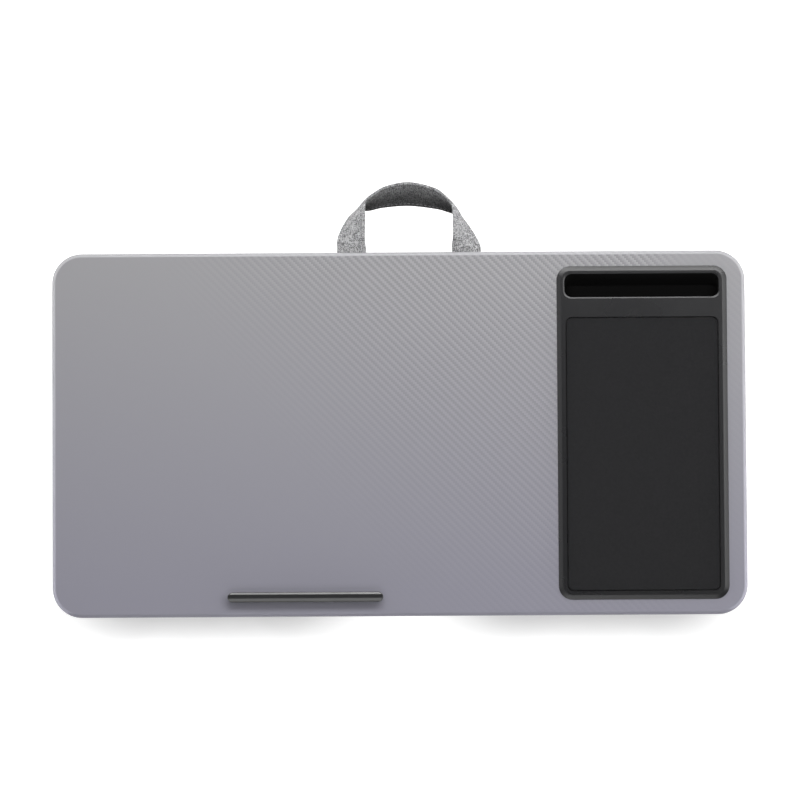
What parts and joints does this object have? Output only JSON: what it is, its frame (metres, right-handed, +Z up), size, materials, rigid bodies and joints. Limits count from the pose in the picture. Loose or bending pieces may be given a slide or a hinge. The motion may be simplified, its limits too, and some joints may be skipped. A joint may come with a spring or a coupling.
{
  "type": "lap desk",
  "caption": "Lap desk: film-wrapped board with a moulded phone and mouse tray, a stop ledge and a strap handle, on a cushion of two soft bolsters with an air channel.",
  "frame": {"origin": "centre of the bounding box of the whole desk, strap included, on the plane that the cushion stands on", "axes": "+X to the user's right along the width, +Y away from the user towards the strap, +Z up out of the worktop"},
  "size_m": [0.583, 0.3644, 0.0763],
  "materials": {
    "fibreboard": "matt",
    "print_film": "satin printed film with a fine twill pattern",
    "hardboard": "matt",
    "moulded_plastic": "fine moulded grain",
    "gloss_plastic": "gloss",
    "pad_cloth": "fine knitted face on foam rubber",
    "strap_cloth": "heather grey weave, edge stitched",
    "cushion_cloth": "heather grey weave",
    "liner_cloth": "non-woven",
    "fibre_fill": "loose polyester fibre",
    "zinc_steel": "zinc plated"
  },
  "bodies": {
    "root": {"board_core": "fibreboard", "board_film": "print_film", "base_panel": "hardboard", "phone_mouse_tray": "moulded_plastic", "mouse_pad": "pad_cloth", "device_ledge": "gloss_plastic", "ledge_screw_1": "zinc_steel", "ledge_screw_2": "zinc_steel", "ledge_screw_3": "zinc_steel", "panel_screw_1": "zinc_steel", "panel_screw_2": "zinc_steel", "panel_screw_3": "zinc_steel", "panel_screw_4": "zinc_steel", "panel_screw_5": "zinc_steel", "panel_screw_6": "zinc_steel", "panel_screw_7": "zinc_steel", "panel_screw_8": "zinc_steel", "tray_screw_1": "zinc_steel", "tray_screw_2": "zinc_steel", "tray_screw_3": "zinc_steel", "tray_screw_4": "zinc_steel", "tray_screw_5": "zinc_steel", "tray_screw_6": "zinc_steel", "strap_tab_left": "strap_cloth", "strap_tab_right": "strap_cloth", "strap_plate_left": "zinc_steel", "strap_plate_right": "zinc_steel", "strap_screw_left": "zinc_steel", "strap_screw_right": "zinc_steel", "cushion_liner": "liner_cloth", "channel_panel": "cushion_cloth", "cushion_welt": "cushion_cloth", "left_bolster_cover": "cushion_cloth", "right_bolster_cover": "cushion_cloth", "left_bolster_fill": "fibre_fill", "right_bolster_fill": "fibre_fill"},
    "handle": {"handle_strap": "strap_cloth"}
  },
  "joints": [
    {"name": "handle_swing", "type": "hinge", "parent": "root", "child": "handle", "pos_m": [0.0092, 0.12627, 0.0535], "axis": [1, 0, 0], "range_deg": [-65, 60]}
  ]
}
